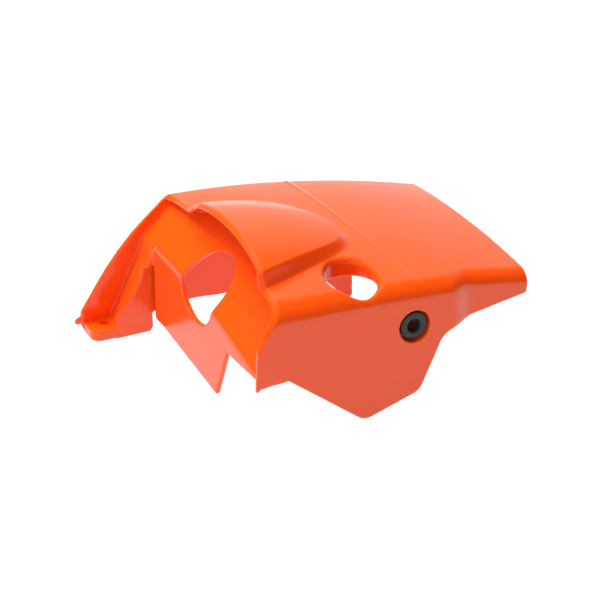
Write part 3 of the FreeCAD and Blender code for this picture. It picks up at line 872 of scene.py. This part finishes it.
def light_table():
    """The pale floor, which glows evenly so that it shows hardly any shadow."""
    made, _, _, shader = material("light_table")
    shader.inputs["Base Color"].default_value = (0.08, 0.08, 0.08, 1.0)
    shader.inputs["Roughness"].default_value = 0.9
    shader.inputs["Specular IOR Level"].default_value = 0.0
    shader.inputs["Emission Color"].default_value = (1.0, 1.0, 1.0, 1.0)
    shader.inputs["Emission Strength"].default_value = 1.05
    return made


# ---------------------------------------------------------------- build

body = "root"
cover = shroud()
cover.data.materials.append(orange_plastic())
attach(cover, body)
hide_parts("shroud")

ring = side_bush()
ring.data.materials.append(black_rubber())
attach(ring, body)
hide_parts("side_bush")

# ---------------------------------------------------------------- floor, light and camera, in metres

FLOOR_HALF = 6.0
FLOOR_GAP = 0.0003
LIT_PLACE = (0.0, 0.0, 0.05)

floor_corners = [(-FLOOR_HALF, -FLOOR_HALF, 0.0), (FLOOR_HALF, -FLOOR_HALF, 0.0),
                 (FLOOR_HALF, FLOOR_HALF, 0.0), (-FLOOR_HALF, FLOOR_HALF, 0.0)]
floor = new_object("floor", floor_corners, [(0, 1, 2, 3)])
floor.location.z = CAD_BOX[0].z - FLOOR_GAP
floor.data.materials.append(light_table())


def softbox(name, place, size, power):
    """A square light aimed at the cover. The gloss shows no mirror image of it."""
    data = bpy.data.lights.new(name, "AREA")
    data.shape = "SQUARE"
    data.size = size
    data.energy = power
    lamp = bpy.data.objects.new(name, data)
    bpy.context.scene.collection.objects.link(lamp)
    lamp.location = place
    lamp.rotation_euler = (Vector(LIT_PLACE) - Vector(place)).to_track_quat("-Z", "Y").to_euler()
    lamp.visible_glossy = False


def fading(tree, direction, start, end):
    """Rises from 0 to 1 as one part of a direction goes from start to end."""
    node = tree.nodes.new("ShaderNodeMapRange")
    node.interpolation_type = "SMOOTHSTEP"
    node.inputs["From Min"].default_value = start
    node.inputs["From Max"].default_value = end
    tree.links.new(direction, node.inputs["Value"])
    return node.outputs["Result"]


def light_tent():
    """A dim surround with a bright backdrop towards the front left, which the roof mirrors."""
    world = bpy.data.worlds.new("light_tent")
    bpy.context.scene.world = world
    world.use_nodes = True
    tree = world.node_tree
    background = tree.nodes["Background"]
    coordinate = tree.nodes.new("ShaderNodeTexCoord")
    direction = tree.nodes.new("ShaderNodeSeparateXYZ")
    tree.links.new(coordinate.outputs["Generated"], direction.inputs["Vector"])
    backdrop = tree.nodes.new("ShaderNodeMath")
    backdrop.operation = "MULTIPLY"
    tree.links.new(fading(tree, direction.outputs["Y"], 0.0, 0.6), backdrop.inputs[0])
    tree.links.new(fading(tree, direction.outputs["X"], -0.35, 0.25), backdrop.inputs[1])
    level = tree.nodes.new("ShaderNodeMath")
    level.operation = "MULTIPLY_ADD"
    level.inputs[1].default_value = 0.62
    level.inputs[2].default_value = 0.06
    tree.links.new(backdrop.outputs["Value"], level.inputs[0])
    tree.links.new(level.outputs["Value"], background.inputs["Strength"])
    background.inputs["Color"].default_value = (1.0, 1.0, 1.0, 1.0)


def photo_camera():
    """A long lens at the photograph's angle: above the right skirt and a little to the rear."""
    data = bpy.data.cameras.new("camera")
    data.lens = 120.0
    data.sensor_width = 36.0
    data.clip_start = 0.05
    data.clip_end = 50.0
    camera = bpy.data.objects.new("camera", data)
    bpy.context.scene.collection.objects.link(camera)
    right = Vector((0.89879, -0.43837, 0.0))
    up = Vector((0.20580, 0.42196, 0.88295))
    view_direction = up.cross(right).normalized()
    turn = Matrix((right, up, -view_direction)).transposed()
    camera.matrix_world = Matrix.Translation((-0.4030, -0.8292, 0.5220)) @ turn.to_4x4()
    bpy.context.scene.camera = camera


softbox("key_softbox", (-0.30, 0.42, 1.29), 1.0, 40.0)
softbox("side_softbox", (-0.8, -1.3, 0.75), 1.2, 8.0)
softbox("rear_fill", (-1.4, 0.3, 0.9), 0.8, 4.0)
light_tent()
bpy.context.scene.view_settings.view_transform = "Standard"
photo_camera()
